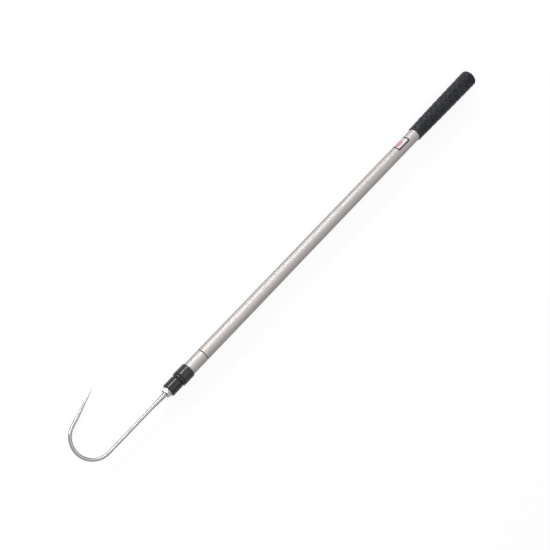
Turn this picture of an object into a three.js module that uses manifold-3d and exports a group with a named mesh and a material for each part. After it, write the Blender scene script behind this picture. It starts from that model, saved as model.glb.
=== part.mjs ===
// A telescopic fishing gaff, shut. Millimetres, +Z up, +X along the pole from the butt to the hook.
// The origin is the centre of the grip's flat butt face.

import * as THREE from 'three';
import { mergeVertices } from 'three/addons/utils/BufferGeometryUtils.js';
import Module from 'manifold-3d';

const wasm = await Module();
wasm.setup();

// Play that the fits keep
const running_gap = 0.2;
const fit_gap = 0.1;
const seat_gap = 0.2;
const closed_gap = 0.3;

// How far a cutting tool runs past the face it cuts
const overrun = 1;

// Outer tube and its rolled groove
const tube_diameter = 25;
const tube_wall = 1;
const tube_length = 860;
const groove_from_mouth = 61;
const groove_width = 2.6;
const groove_floor_width = 1.2;
const groove_depth = 0.8;

// Grip
const grip_length = 185;
const grip_butt_wall = 4.6;
const grip_lip_wall = 2.1;
const grip_end_wall = 6;
const grip_butt_reach = 5.5;
const grip_butt_drop = 8.5;
const grip_lip_round = 0.8;
const grip_taper_share = 1.35;

// Plug in the butt end of the outer tube
const end_plug_flange = 2;
const end_plug_length = 18;
const end_plug_wall = 2.4;
const end_plug_floor = 3;

// Label on the outer tube
const label_from_grip = 23.5;
const label_length = 33.5;
const label_wrap = 24.5;
const label_thickness = 0.2;
const label_start_turn = THREE.MathUtils.degToRad(11.25);

// Guide bush and collar at the mouth of the outer tube
const bush_wall = 1.2;
const collar_length = 27.4;
const collar_wall = 1.9;
const collar_lip = 3.5;
const collar_rear_reach = 3.5;
const collar_rear_drop = 1.2;
const collar_front_round = 1;

// Inner tube
const inner_wall = 1;
const stowed_clearance = 58;

// Fluted head on the inner tube
const head_length = 26;
const head_overhang = 2.7;
const head_neck_length = 2;
const head_neck_overhang = 1.3;
const head_chamfer = 1.4;
const flute_count = 9;
const flute_radius = 2.5;
const flute_depth = 1.2;
const flute_turn = THREE.MathUtils.degToRad(32.1);
const head_spigot_length = 24;

// Threaded insert in the head
const insert_diameter = 14;
const insert_length = 18;
const stem_relief = 4;

// Cross pins in the inner tube
const pin_diameter = 3;
const front_pin_inset = 12;
const rear_pin_inset = 14;

// Rear plug with its stud
const rear_flange = 3;
const rear_plug_length = 22;
const stud_diameter = 8;
const stud_embed = 9;
const stud_tail = 2;

// Twist lock on the stud
const thrust_washer_thickness = 1.2;
const thrust_washer_rim = 0.8;
const sleeve_length = 30;
const sleeve_collar_length = 4;
const sleeve_mouth_wall = 1.7;
const sleeve_throat_wall = 5;
const sleeve_slot_width = 2.5;
const sleeve_slot_length = 24;
const cone_inset = 6;
const cone_tail = 3;
const cone_rib_length = 20;
const cone_rib_inset = 0.5;
const thread_pitch = 1.25;
const stop_nut_across_flats = 13;
const stop_nut_height = 6.5;

// Hook fastening
const hook_thread = 10;
const washer_diameter = 20;
const washer_thickness = 2;
const lock_nut_across_flats = 17;
const lock_nut_height = 5;
const lock_nut_turn = THREE.MathUtils.degToRad(6.8);
const nut_chamfer = 1;
const stem_engagement = 15;

// Ferrule nose
const nose_length = 28;
const nose_root_diameter = 9.4;
const nose_tip_diameter = 7.3;
const socket_depth = 22;

// Hook wire
const wire_diameter = 6.35;
const shank_length = 113.6;
const bend_radius = 39;
const flare = THREE.MathUtils.degToRad(17.5);
const leg_length = 71;
const point_length = 56;
const point_tip_diameter = 0.6;
const point_steps = 6;
const point_fullness_share = 0.85;

// Facets
const turning_sides = 32;
const wire_sides = 16;
const pin_sides = 16;
const bend_steps = 22;
const round_steps = 5;
const taper_steps = 5;

// Radii that follow from the sizes above
const tube_radius = tube_diameter / 2;
const bore_radius = tube_radius - tube_wall;
const bush_outer = bore_radius - fit_gap;
const bush_inner = bush_outer - bush_wall;
const inner_radius = bush_inner - running_gap;
const inner_bore = inner_radius - inner_wall;
const spigot_radius = inner_bore - fit_gap;
const grip_bore = tube_radius + fit_gap;
const grip_butt_radius = grip_bore + grip_butt_wall;
const grip_lip_radius = grip_bore + grip_lip_wall;
const collar_bore = tube_radius + fit_gap;
const collar_radius = collar_bore + collar_wall;
const head_radius = inner_radius + head_overhang;
const neck_radius = inner_radius + head_neck_overhang;
const stud_radius = stud_diameter / 2;
const stud_hole = stud_radius + fit_gap;
const stem_radius = hook_thread / 2;
const stem_hole = stem_radius + fit_gap;
const insert_radius = insert_diameter / 2;
const pin_radius = pin_diameter / 2;
const sleeve_radius = bore_radius - running_gap;
const sleeve_mouth = sleeve_radius - sleeve_mouth_wall;
const sleeve_throat = sleeve_radius - sleeve_throat_wall;
const wire_radius = wire_diameter / 2;
const point_tip_radius = point_tip_diameter / 2;

// Places along X that follow, from the butt forwards
const end_plug_rear = grip_end_wall + seat_gap;
const tube_start = end_plug_rear + end_plug_flange + seat_gap;
const tube_mouth = tube_start + tube_length;
const groove_place = tube_mouth - groove_from_mouth;
const label_start = grip_length + label_from_grip;
const bush_rear = groove_place + groove_width / 2 + seat_gap;
const collar_lip_rear = tube_mouth + seat_gap;
const collar_front = collar_lip_rear + collar_lip;
const collar_rear = collar_front - collar_length;
const head_rear = collar_front + closed_gap;
const head_front = head_rear + head_length;
const washer_rear = head_front + seat_gap;
const nut_rear = washer_rear + washer_thickness + seat_gap;
const nose_rear = nut_rear + lock_nut_height + seat_gap;
const nose_front = nose_rear + nose_length;
const stem_rear = head_front - stem_engagement;
const insert_rear = head_front - insert_length;
const shank_rear = nose_front - socket_depth + seat_gap;
const bend_start = nose_front + shank_length;

// Places along X that follow, from the stowed end of the lock forwards
const stud_rear = tube_start + end_plug_length + stowed_clearance;
const stop_nut_rear = stud_rear + stud_tail;
const cone_rear = stop_nut_rear + stop_nut_height + seat_gap + thread_pitch;
const sleeve_rear = cone_rear + cone_tail;
const sleeve_front = sleeve_rear + sleeve_length;
const thrust_washer_rear = sleeve_front + seat_gap;
const rear_flange_rear = thrust_washer_rear + thrust_washer_thickness + seat_gap;
const inner_rear = rear_flange_rear + rear_flange + seat_gap;
const inner_front = head_rear - seat_gap;
const stud_front = inner_rear + stud_embed;

// Materials
function finish(colour, roughness, metalness) {
  return new THREE.MeshStandardMaterial({ color: colour, roughness, metalness });
}

const satin_aluminium = finish(0xa39b96, 0.35, 1);
const black_rubber = finish(0x1b1d20, 0.75, 0);
const black_nylon = finish(0x161719, 0.35, 0);
const pale_nylon = finish(0xd8d5cb, 0.5, 0);
const bright_steel = finish(0xc9c9cb, 0.2, 1);
const plain_steel = finish(0x9a9a9c, 0.4, 1);
const yellow_brass = finish(0xb99650, 0.35, 1);
const printed_vinyl = finish(0xe9e7e4, 0.4, 0);

// Points of a round edge, as [place along X, radius], between two angles in degrees.
// Its reach is how far it goes along X, and its drop how far towards the axis.
function roundEdge(centre_x, centre_r, reach, drop, from, to) {
  const points = [];
  for (let step = 0; step <= round_steps; step += 1) {
    const angle = THREE.MathUtils.degToRad(from + (to - from) * step / round_steps);
    points.push([centre_x + reach * Math.cos(angle), centre_r + drop * Math.sin(angle)]);
  }
  return points;
}

// A piece turned about X. Its profile of [place, radius] runs forwards along the outside.
function turned(profile) {
  const points = profile.map(([place, radius]) => new THREE.Vector2(radius, place));
  return new THREE.LatheGeometry(points, turning_sides).rotateZ(-Math.PI / 2);
}

// A plain ring, bush or washer about X
function ring(rear, front, inner, outer) {
  return turned([[rear, inner], [rear, outer], [front, outer], [front, inner], [rear, inner]]);
}

// A plain rod about X
function rod(rear, front, radius) {
  return turned([[rear, 0], [rear, radius], [front, radius], [front, 0]]);
}

// A rod across the pole, along Y
function crossRod(place, radius, length) {
  return new THREE.CylinderGeometry(radius, radius, length, pin_sides).translate(place, 0, 0);
}

// A six-sided bar about X
function hexagonBar(rear, front, across_flats) {
  const corner_radius = across_flats / Math.sqrt(3);
  const bar = new THREE.CylinderGeometry(corner_radius, corner_radius, front - rear, 6);
  return bar.rotateZ(-Math.PI / 2).translate((rear + front) / 2, 0, 0);
}

// A closed mesh as a solid that can be cut and joined
function solid(geometry) {
  const bare = geometry.clone();
  bare.deleteAttribute('normal');
  bare.deleteAttribute('uv');
  const merged = mergeVertices(bare);
  const corners = Array.from(merged.index.array);
  const kept = [];
  for (let i = 0; i < corners.length; i += 3) {
    const [a, b, c] = corners.slice(i, i + 3);
    if (a !== b && b !== c && c !== a) {
      kept.push(a, b, c);
    }
  }
  return new wasm.Manifold(new wasm.Mesh({
    numProp: 3,
    vertProperties: new Float32Array(merged.attributes.position.array),
    triVerts: new Uint32Array(kept),
  }));
}

// The mesh of a solid
function meshOf(body) {
  const { vertProperties, triVerts } = body.getMesh();
  const geometry = new THREE.BufferGeometry();
  geometry.setAttribute('position', new THREE.BufferAttribute(vertProperties, 3));
  geometry.setIndex(new THREE.BufferAttribute(triVerts, 1));
  geometry.computeVertexNormals();
  return geometry;
}

function piece(name, geometry, material) {
  const mesh = new THREE.Mesh(geometry, material);
  mesh.name = name;
  return mesh;
}

// The grip narrows slowly behind the butt and faster towards its lip.
function gripTaper(lip_round_place) {
  const points = [];
  for (let step = 1; step < taper_steps; step += 1) {
    const along = step / taper_steps;
    const place = grip_butt_reach + (lip_round_place - grip_butt_reach) * along;
    const narrowing = (grip_butt_radius - grip_lip_radius) * along ** grip_taper_share;
    points.push([place, grip_butt_radius - narrowing]);
  }
  return points;
}

function makeGrip() {
  const butt_flat = grip_butt_radius - grip_butt_drop;
  const lip_shoulder = grip_lip_radius - grip_lip_round;
  const lip_round_place = grip_length - grip_lip_round;
  const profile = [
    [0, 0],
    ...roundEdge(grip_butt_reach, butt_flat, grip_butt_reach, grip_butt_drop, 180, 90),
    ...gripTaper(lip_round_place),
    ...roundEdge(lip_round_place, lip_shoulder, grip_lip_round, grip_lip_round, 90, 0),
    [grip_length, grip_bore],
    [grip_end_wall, grip_bore],
    [grip_end_wall, 0],
  ];
  return piece('grip', turned(profile), black_rubber);
}

function makeTubeEndPlug() {
  const front = tube_start + end_plug_length;
  const body = bore_radius - fit_gap;
  const hollow = body - end_plug_wall;
  const profile = [
    [end_plug_rear, 0],
    [end_plug_rear, tube_radius],
    [end_plug_rear + end_plug_flange, tube_radius],
    [end_plug_rear + end_plug_flange, body],
    [front, body],
    [front, hollow],
    [end_plug_rear + end_plug_floor, hollow],
    [end_plug_rear + end_plug_floor, 0],
  ];
  return piece('tube_end_plug', turned(profile), black_nylon);
}

function makeOuterTube() {
  const groove_rear = groove_place - groove_width / 2;
  const groove_front = groove_place + groove_width / 2;
  const floor_rear = groove_place - groove_floor_width / 2;
  const floor_front = groove_place + groove_floor_width / 2;
  const profile = [
    [tube_start, bore_radius],
    [tube_start, tube_radius],
    [groove_rear, tube_radius],
    [floor_rear, tube_radius - groove_depth],
    [floor_front, tube_radius - groove_depth],
    [groove_front, tube_radius],
    [tube_mouth, tube_radius],
    [tube_mouth, bore_radius],
    [groove_front, bore_radius],
    [floor_front, bore_radius - groove_depth],
    [floor_rear, bore_radius - groove_depth],
    [groove_rear, bore_radius],
    [tube_start, bore_radius],
  ];
  return piece('outer_tube', turned(profile), satin_aluminium);
}

// The label lies on whole facets of the tube.
function makeLabel() {
  const facet = 2 * Math.PI / turning_sides;
  const facets = Math.max(1, Math.round(label_wrap / (tube_radius * facet)));
  const under = tube_radius + fit_gap;
  const over = under + label_thickness;
  const outline = [];
  for (let step = 0; step <= facets; step += 1) {
    const turn = label_start_turn + step * facet;
    outline.push(new THREE.Vector2(over * Math.cos(turn), over * Math.sin(turn)));
  }
  for (let step = facets; step >= 0; step -= 1) {
    const turn = label_start_turn + step * facet;
    outline.push(new THREE.Vector2(under * Math.cos(turn), under * Math.sin(turn)));
  }
  const section = new THREE.Shape(outline);
  const strip = new THREE.ExtrudeGeometry(section, { depth: label_length, steps: 1, bevelEnabled: false });
  const axes = new THREE.Matrix4().makeBasis(
    new THREE.Vector3(0, 0, 1),
    new THREE.Vector3(0, -1, 0),
    new THREE.Vector3(1, 0, 0),
  );
  strip.applyMatrix4(axes).translate(label_start, 0, 0);
  return piece('label', strip, printed_vinyl);
}

function makeGuideBush() {
  return piece('guide_bush', ring(bush_rear, tube_mouth, bush_inner, bush_outer), pale_nylon);
}

function makeOuterCollar() {
  const rear_place = collar_rear + collar_rear_reach;
  const rear_shoulder = collar_radius - collar_rear_drop;
  const front_place = collar_front - collar_front_round;
  const front_shoulder = collar_radius - collar_front_round;
  const profile = [
    [collar_rear, collar_bore],
    ...roundEdge(rear_place, rear_shoulder, collar_rear_reach, collar_rear_drop, 180, 90),
    ...roundEdge(front_place, front_shoulder, collar_front_round, collar_front_round, 90, 0),
    [collar_front, bush_inner],
    [collar_lip_rear, bush_inner],
    [collar_lip_rear, collar_bore],
    [collar_rear, collar_bore],
  ];
  return piece('outer_collar', turned(profile), black_nylon);
}

// The sleeve's bore widens to the rear. Its slots let its fingers spread.
function makeExpanderSleeve() {
  const throat_place = sleeve_front - sleeve_collar_length;
  const body = turned([
    [sleeve_rear, sleeve_mouth],
    [sleeve_rear, sleeve_radius],
    [sleeve_front, sleeve_radius],
    [sleeve_front, stud_radius + running_gap],
    [throat_place, stud_radius + running_gap],
    [throat_place, sleeve_throat],
    [sleeve_rear, sleeve_mouth],
  ]);
  const slot_length = sleeve_slot_length + overrun;
  const slot_place = sleeve_rear + (sleeve_slot_length - overrun) / 2;
  const slot_reach = 2 * (sleeve_radius + overrun);
  const upright = new THREE.BoxGeometry(slot_length, sleeve_slot_width, slot_reach);
  const level = new THREE.BoxGeometry(slot_length, slot_reach, sleeve_slot_width);
  upright.translate(slot_place, 0, 0);
  level.translate(slot_place, 0, 0);
  const split = solid(body).subtract(solid(upright)).subtract(solid(level));
  return piece('expander_sleeve', meshOf(split), pale_nylon);
}

// The cone's ribs ride in the sleeve's slots, so that it can't turn with the stud.
function makeExpanderCone() {
  const taper = (sleeve_mouth - sleeve_throat) / (sleeve_length - sleeve_collar_length);
  const front = sleeve_front - cone_inset;
  const rear_radius = sleeve_mouth - running_gap + Math.min(taper * cone_tail, fit_gap);
  const mouth_radius = sleeve_mouth - running_gap;
  const front_radius = mouth_radius - taper * (front - sleeve_rear);
  const body = turned([
    [cone_rear, stud_hole],
    [cone_rear, rear_radius],
    [sleeve_rear, mouth_radius],
    [front, front_radius],
    [front, stud_hole],
    [cone_rear, stud_hole],
  ]);
  const rib_reach = 2 * (sleeve_radius - cone_rib_inset);
  const rib_width = sleeve_slot_width - 2 * running_gap;
  const rib_place = cone_rear + cone_rib_length / 2;
  const upright = new THREE.BoxGeometry(cone_rib_length, rib_width, rib_reach);
  const level = new THREE.BoxGeometry(cone_rib_length, rib_reach, rib_width);
  upright.translate(rib_place, 0, 0);
  level.translate(rib_place, 0, 0);
  const hole = rod(cone_rear - overrun, front + overrun, stud_hole);
  const keyed = solid(body).add(solid(upright)).add(solid(level)).subtract(solid(hole));
  return piece('expander_cone', meshOf(keyed), black_nylon);
}

function makeInnerTube() {
  const tube = ring(inner_rear, inner_front, inner_bore, inner_radius);
  const reach = 2 * (inner_radius + overrun);
  const front_hole = crossRod(inner_front - front_pin_inset, pin_radius + fit_gap, reach);
  const rear_hole = crossRod(inner_rear + rear_pin_inset, pin_radius + fit_gap, reach);
  const drilled = solid(tube).subtract(solid(front_hole)).subtract(solid(rear_hole));
  return piece('inner_tube', meshOf(drilled), satin_aluminium);
}

function makeRearPlug() {
  const front = inner_rear + rear_plug_length;
  const body = turned([
    [rear_flange_rear, stud_hole],
    [rear_flange_rear, inner_radius],
    [rear_flange_rear + rear_flange, inner_radius],
    [rear_flange_rear + rear_flange, spigot_radius],
    [front, spigot_radius],
    [front, 0],
    [stud_front + seat_gap, 0],
    [stud_front + seat_gap, stud_hole],
    [rear_flange_rear, stud_hole],
  ]);
  const pin_reach = 2 * (spigot_radius + overrun);
  const pin_hole = crossRod(inner_rear + rear_pin_inset, pin_radius + fit_gap, pin_reach);
  return piece('rear_plug', meshOf(solid(body).subtract(solid(pin_hole))), black_nylon);
}

// The pins' ends stay just under the tube's surface, so that they clear the bush.
function makePin(name, place) {
  const half_length = Math.sqrt(inner_radius ** 2 - pin_radius ** 2) - fit_gap;
  return piece(name, crossRod(place, pin_radius, 2 * half_length), plain_steel);
}

function makeLockStud() {
  return piece('lock_stud', rod(stud_rear, stud_front, stud_radius), plain_steel);
}

function makeThrustWasher() {
  const front = thrust_washer_rear + thrust_washer_thickness;
  const outer = inner_radius - thrust_washer_rim;
  return piece('thrust_washer', ring(thrust_washer_rear, front, stud_hole, outer), plain_steel);
}

// A nut with both ends chamfered, round a plain hole
function nutGeometry(rear, height, across_flats, hole_radius, turn) {
  const front = rear + height;
  const shoulder = across_flats / 2;
  const corner = across_flats / Math.sqrt(3) + overrun;
  const slope_length = nut_chamfer * (corner - shoulder) / overrun / 2;
  const envelope = turned([
    [rear, 0],
    [rear, shoulder],
    [rear + slope_length, corner],
    [front - slope_length, corner],
    [front, shoulder],
    [front, 0],
  ]);
  const hole = rod(rear - overrun, front + overrun, hole_radius);
  const bar = hexagonBar(rear - overrun, front + overrun, across_flats).rotateX(turn);
  return meshOf(solid(bar).intersect(solid(envelope)).subtract(solid(hole)));
}

function makeStopNut() {
  const geometry = nutGeometry(stop_nut_rear, stop_nut_height, stop_nut_across_flats, stud_hole, 0);
  return piece('stop_nut', geometry, plain_steel);
}

// The fluted outline of the head: ridges on the head's radius, with a scoop between each two
function flutedOutline() {
  const scoop_place = head_radius - flute_depth + flute_radius;
  const reach = (scoop_place ** 2 + head_radius ** 2 - flute_radius ** 2) / (2 * scoop_place * head_radius);
  const half_flute = Math.acos(reach);
  const pitch = 2 * Math.PI / flute_count;
  const edge_up = head_radius * Math.sin(half_flute);
  const edge_in = scoop_place - head_radius * Math.cos(half_flute);
  const half_scoop = Math.atan2(edge_up, edge_in);
  const outline = new THREE.Shape();
  for (let flute = 0; flute < flute_count; flute += 1) {
    const middle = flute * pitch;
    const scoop_x = scoop_place * Math.cos(middle);
    const scoop_y = scoop_place * Math.sin(middle);
    const facing = middle + Math.PI;
    outline.absarc(scoop_x, scoop_y, flute_radius, facing + half_scoop, facing - half_scoop, true);
    outline.absarc(0, 0, head_radius, middle + half_flute, middle + pitch - half_flute, false);
  }
  return outline;
}

function makeTwistHead() {
  const flutes_rear = head_rear + head_neck_length;
  const flutes_length = head_front - flutes_rear;
  const bar = new THREE.ExtrudeGeometry(flutedOutline(), {
    depth: flutes_length,
    steps: 1,
    curveSegments: 2,
    bevelEnabled: false,
  });
  bar.rotateY(Math.PI / 2).rotateX(flute_turn).translate(flutes_rear, 0, 0);
  const envelope = turned([
    [flutes_rear, 0],
    [flutes_rear, head_radius - head_chamfer],
    [flutes_rear + head_chamfer + overrun, head_radius + overrun],
    [head_front - head_chamfer - overrun, head_radius + overrun],
    [head_front, head_radius - head_chamfer],
    [head_front, 0],
  ]);
  const core = turned([
    [inner_front - head_spigot_length, 0],
    [inner_front - head_spigot_length, spigot_radius],
    [head_rear, spigot_radius],
    [head_rear, neck_radius],
    [flutes_rear + overrun, neck_radius],
    [flutes_rear + overrun, 0],
  ]);
  const pocket = rod(insert_rear - seat_gap, head_front + overrun, insert_radius + fit_gap);
  const relief = rod(insert_rear - stem_relief, head_front, stem_hole);
  const pin_reach = 2 * (spigot_radius + overrun);
  const pin_hole = crossRod(inner_front - front_pin_inset, pin_radius + fit_gap, pin_reach);
  const outside = solid(bar).intersect(solid(envelope)).add(solid(core));
  const head = outside.subtract(solid(pocket)).subtract(solid(relief)).subtract(solid(pin_hole));
  return piece('twist_head', meshOf(head), black_nylon);
}

function makeThreadedInsert() {
  return piece('threaded_insert', ring(insert_rear, head_front, stem_hole, insert_radius), yellow_brass);
}

function makeNutWasher() {
  const front = washer_rear + washer_thickness;
  return piece('nut_washer', ring(washer_rear, front, stem_hole, washer_diameter / 2), bright_steel);
}

function makeLockNut() {
  const geometry = nutGeometry(nut_rear, lock_nut_height, lock_nut_across_flats, stem_hole, lock_nut_turn);
  return piece('lock_nut', geometry, bright_steel);
}

function makeHookFerrule() {
  const socket_radius = wire_radius + fit_gap;
  const profile = [
    [stem_rear, 0],
    [stem_rear, stem_radius],
    [nose_rear, stem_radius],
    [nose_rear, nose_root_diameter / 2],
    [nose_front, nose_tip_diameter / 2],
    [nose_front, socket_radius],
    [nose_front - socket_depth, socket_radius],
    [nose_front - socket_depth, 0],
  ];
  return piece('hook_ferrule', turned(profile), bright_steel);
}

// Stations along the wire's centre line: place, offset to the point's side, heading and radius
function hookStations() {
  const stations = [];
  stations.push({ place: shank_rear, offset: 0, heading: 0, radius: wire_radius });
  const bend_turn = Math.PI - flare;
  for (let step = 0; step <= bend_steps; step += 1) {
    const heading = bend_turn * step / bend_steps;
    stations.push({
      place: bend_start + bend_radius * Math.sin(heading),
      offset: bend_radius - bend_radius * Math.cos(heading),
      heading,
      radius: wire_radius,
    });
  }
  const leg_start = stations[stations.length - 1];
  const straight_length = leg_length - point_length;
  for (let step = 0; step <= point_steps; step += 1) {
    const along = step / point_steps;
    const travelled = straight_length + point_length * along;
    const fullness = (1 - along) ** point_fullness_share;
    stations.push({
      place: leg_start.place + travelled * Math.cos(bend_turn),
      offset: leg_start.offset + travelled * Math.sin(bend_turn),
      heading: bend_turn,
      radius: point_tip_radius + (wire_radius - point_tip_radius) * fullness,
    });
  }
  return stations;
}

// How far the inner section turns before the hook touches the level that the grip lies on
function hookTurn() {
  const far_stations = hookStations().filter(({ offset }) => offset > grip_butt_radius);
  const turns = far_stations.map(({ offset, radius }) => Math.asin((grip_butt_radius - radius) / offset));
  return Math.min(...turns);
}

// A round bar that bends towards -Y, swept through its stations and closed at both ends
function makeHook() {
  const stations = hookStations();
  const positions = [];
  for (const { place, offset, heading, radius } of stations) {
    for (let side = 0; side < wire_sides; side += 1) {
      const turn = 2 * Math.PI * side / wire_sides;
      const outward = radius * Math.cos(turn);
      positions.push(
        place + outward * Math.sin(heading),
        -(offset - outward * Math.cos(heading)),
        radius * Math.sin(turn),
      );
    }
  }
  const first = stations[0];
  const last = stations[stations.length - 1];
  const first_centre = positions.length / 3;
  positions.push(first.place, -first.offset, 0);
  const last_centre = positions.length / 3;
  positions.push(last.place, -last.offset, 0);
  const corners = [];
  for (let side = 0; side < wire_sides; side += 1) {
    const next_side = (side + 1) % wire_sides;
    for (let station = 0; station < stations.length - 1; station += 1) {
      const near = station * wire_sides;
      const far = near + wire_sides;
      corners.push(near + side, near + next_side, far + side);
      corners.push(near + next_side, far + next_side, far + side);
    }
    const last_ring = (stations.length - 1) * wire_sides;
    corners.push(first_centre, next_side, side);
    corners.push(last_centre, last_ring + side, last_ring + next_side);
  }
  const geometry = new THREE.BufferGeometry();
  geometry.setAttribute('position', new THREE.Float32BufferAttribute(positions, 3));
  geometry.setIndex(corners);
  geometry.computeVertexNormals();
  return piece('hook', geometry, bright_steel);
}

const outer_section = new THREE.Group();
outer_section.add(makeGrip());
outer_section.add(makeTubeEndPlug());
outer_section.add(makeOuterTube());
outer_section.add(makeLabel());
outer_section.add(makeGuideBush());
outer_section.add(makeOuterCollar());

const lock = new THREE.Group();
lock.add(makeExpanderSleeve());
lock.add(makeExpanderCone());

const inner_section = new THREE.Group();
inner_section.rotation.x = hookTurn();
inner_section.add(makeInnerTube());
inner_section.add(makeRearPlug());
inner_section.add(makePin('rear_plug_pin', inner_rear + rear_pin_inset));
inner_section.add(makeLockStud());
inner_section.add(makeThrustWasher());
inner_section.add(makeStopNut());
inner_section.add(makeTwistHead());
inner_section.add(makePin('head_pin', inner_front - front_pin_inset));
inner_section.add(makeThreadedInsert());
inner_section.add(makeNutWasher());
inner_section.add(makeLockNut());
inner_section.add(makeHookFerrule());
inner_section.add(makeHook());

const gaff = new THREE.Group();
gaff.add(outer_section);
gaff.add(lock);
gaff.add(inner_section);

export default gaff;
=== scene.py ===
"""Looks of a telescopic gaff: its modelled pieces, their finishes, the studio and the camera."""

import contextlib
import math
from functools import partialmethod

import bmesh
import bpy
from bpy.props import FloatProperty, FloatVectorProperty, IntProperty, PointerProperty
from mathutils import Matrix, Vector


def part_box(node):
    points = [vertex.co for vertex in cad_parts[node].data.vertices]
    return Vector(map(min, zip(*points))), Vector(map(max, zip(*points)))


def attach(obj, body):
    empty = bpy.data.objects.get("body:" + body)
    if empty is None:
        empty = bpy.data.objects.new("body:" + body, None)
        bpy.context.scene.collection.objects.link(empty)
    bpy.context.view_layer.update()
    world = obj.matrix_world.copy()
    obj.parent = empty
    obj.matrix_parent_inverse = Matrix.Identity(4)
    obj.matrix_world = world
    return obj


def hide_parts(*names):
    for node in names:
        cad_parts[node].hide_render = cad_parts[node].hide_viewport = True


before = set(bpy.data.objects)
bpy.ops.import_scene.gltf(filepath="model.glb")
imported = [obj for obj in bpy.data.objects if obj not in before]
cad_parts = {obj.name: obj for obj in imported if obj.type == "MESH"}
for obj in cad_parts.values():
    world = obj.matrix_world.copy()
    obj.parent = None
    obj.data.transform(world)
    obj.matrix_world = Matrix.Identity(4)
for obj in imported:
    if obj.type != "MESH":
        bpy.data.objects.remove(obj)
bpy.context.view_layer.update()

bl_info = {
    "name": "Telescopic Gaff",
    "version": (1, 0, 0),
    "blender": (4, 5, 0),
    "location": "View3D > Sidebar > Gaff",
    "description": "Models the visible pieces of a telescopic gaff round its packed frame",
    "category": "Object",
}

MM = 0.001
POLE_SIDES = 128
PIN_SIDES = 32
FINE_ANGLE = math.radians(32)
SOFT_ANGLE = math.radians(60)
MERGE_REACH = 0.002 * MM
TURN_TO_X = (0, math.pi / 2, 0)
CORNER_TO_TOP = math.pi / 2
CLEARANCE = 0.1 * MM
OVERCUT = 1 * MM
DRILL_REACH = 15 * MM
METAL_EDGE = (0.35, 0.35, 0.35, 1)
TURNED_STEEL = (0.50, 0.50, 0.50)

GRIP_LOW, GRIP_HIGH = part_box("grip")
TUBE_LOW, TUBE_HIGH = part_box("outer_tube")
LABEL_LOW, LABEL_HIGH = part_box("label")
COLLAR_LOW, COLLAR_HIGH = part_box("outer_collar")
SLIDER_LOW, SLIDER_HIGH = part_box("inner_tube")
HEAD_LOW, HEAD_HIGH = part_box("twist_head")
PIN_LOW, PIN_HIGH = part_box("head_pin")
WASHER_LOW, WASHER_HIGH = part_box("nut_washer")
NUT_LOW, NUT_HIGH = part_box("lock_nut")
FERRULE_LOW, FERRULE_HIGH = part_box("hook_ferrule")
HOOK_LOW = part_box("hook")[0]


# Settings


def length(name, description, millimetres):
    """A length that the panel shows in the scene's unit."""
    return FloatProperty(
        name=name, description=description, default=millimetres * MM, min=0,
        unit="LENGTH", subtype="DISTANCE", precision=5,
    )


def angle(name, description, degrees):
    """An angle that the panel shows in degrees."""
    return FloatProperty(
        name=name, description=description, default=math.radians(degrees),
        unit="ROTATION", subtype="ANGLE",
    )


def share(name, description, default):
    """A number from none to all."""
    return FloatProperty(
        name=name, description=description, default=default, min=0, max=1, subtype="FACTOR"
    )


def count(name, description, default, low, high):
    """How many there are of something."""
    return IntProperty(name=name, description=description, default=default, min=low, max=high)


def power(name, description, watts):
    """A lamp's power."""
    return FloatProperty(name=name, description=description, default=watts, unit="POWER")


def colour(name, description, *default):
    """A plain colour, in linear light."""
    return FloatVectorProperty(
        name=name, description=description, default=default, min=0, max=1,
        size=3, subtype="COLOR",
    )


class GripSettings(bpy.types.PropertyGroup):
    """Sizes and colours of the rubber grip."""

    lip_radius: length("Lip radius", "Radius of the grip at its front end", 14.7)
    taper_share: FloatProperty(
        name="Taper", description="How late the grip narrows; 1 is an even taper",
        default=1.35, min=0.5, max=3,
    )
    end_wall: length("End wall", "Rubber behind the tube's end", 6)
    bore_radius: length("Bore radius", "Radius of the hole for the tube", 12.6)
    butt_reach: length("Butt reach", "How far the butt's round edge runs along the grip", 5.5)
    butt_drop: length("Butt drop", "How far the butt's round edge drops to its flat face", 8.5)
    pads_round: count("Pads round", "Lozenge pads side by side round the grip", 6, 3, 16)
    pad_rows: count("Pad rows", "Rows of lozenge pads along the grip", 10, 1, 30)
    pad_turn: angle("Pad turn", "Where round the grip two grooves cross", 18)
    pattern_start: length("Pattern start", "Where the pads begin, from the butt", 8.4)
    pad_pitch: length("Pad length", "Length of one lozenge pad along the grip", 15.9)
    groove_width: length("Groove width", "Width of the grooves between the pads", 1.5)
    groove_depth: length("Groove depth", "Depth of the grooves under the pads' crowns", 0.85)
    shoulder_width: length("Shoulder width", "How far a pad's shoulder rises to its crown", 2.3)
    shoulder_share: share("Shoulder height", "Height of a pad's edge against its crown", 0.6)
    rubber: colour("Rubber", "Colour of the rubber in the grooves", 0.004, 0.005, 0.008)
    crown: colour("Crowns", "Colour of the rubber that hands have rubbed", 0.014, 0.017, 0.021)


class TubeSettings(bpy.types.PropertyGroup):
    """Sizes and colours of the two aluminium tubes and their pin."""

    wall: length("Wall", "Thickness of both tubes' walls", 1)
    slider_radius: length("Inner radius", "Radius of the inner tube", 10)
    groove_place: length("Groove place", "Where the rolled groove is, from the butt", 807.4)
    groove_width: length("Groove width", "Width of the rolled groove", 3.2)
    groove_depth: length("Groove depth", "Depth of the rolled groove", 0.8)
    pin_length: length("Pin length", "Length of the cross pin behind the head", 19.56)
    aluminium: colour("Aluminium", "Colour of the drawn aluminium", 0.495, 0.469, 0.455)
    # Painted shade: this dark colour is mixed into the rolled groove, where shade falls.
    groove_shade: colour("Groove_shade", "Colour of the dirt in the groove", 0.10, 0.09, 0.085)
    roughness: share("Roughness", "How satin the drawn surface is", 0.56)


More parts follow.
